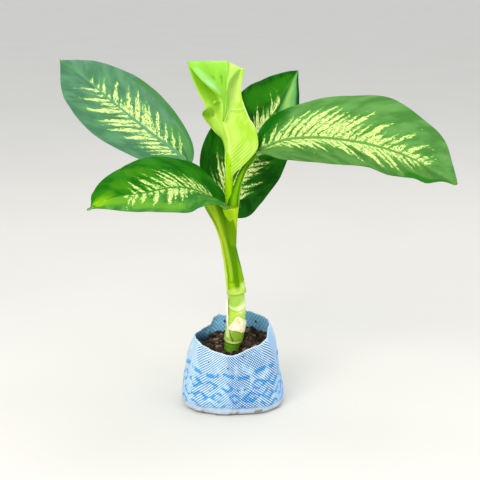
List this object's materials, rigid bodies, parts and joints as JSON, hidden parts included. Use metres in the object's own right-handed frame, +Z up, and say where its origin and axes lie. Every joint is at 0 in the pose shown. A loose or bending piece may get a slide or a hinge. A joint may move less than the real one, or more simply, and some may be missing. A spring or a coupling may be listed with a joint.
{
  "type": "potted dieffenbachia",
  "caption": "young dumb cane with arching dark green leaves streaked cream along their veins and a pale leaf unrolling, growing in a small blue woven nursery bag of soil",
  "frame": {"origin": "the middle of the bag's flat bottom, on the surface it stands on", "axes": "+Z up, +X to the right of the front view along the longest leaf, -Y towards the viewer of the front view"},
  "size_m": [0.4379, 0.2846, 0.3941],
  "materials": {
    "bag_fabric": "matte woven",
    "soil": "rough, dry crumbs and bark",
    "cane": "satin",
    "dried_sheath": "matte, papery",
    "petiole": "satin",
    "blade": "satin, waxy",
    "new_leaf": "satin, waxy"
  },
  "bodies": {
    "root": {"grow_bag": "bag_fabric", "soil": "soil", "cane": "cane", "dried_sheath": "dried_sheath", "petiole_upper_left": "petiole", "petiole_back": "petiole", "petiole_lower_left": "petiole", "petiole_right": "petiole", "blade_upper_left": "blade", "blade_back": "blade", "blade_lower_left": "blade", "blade_right": "blade", "new_leaf": "new_leaf"}
  },
  "joints": []
}
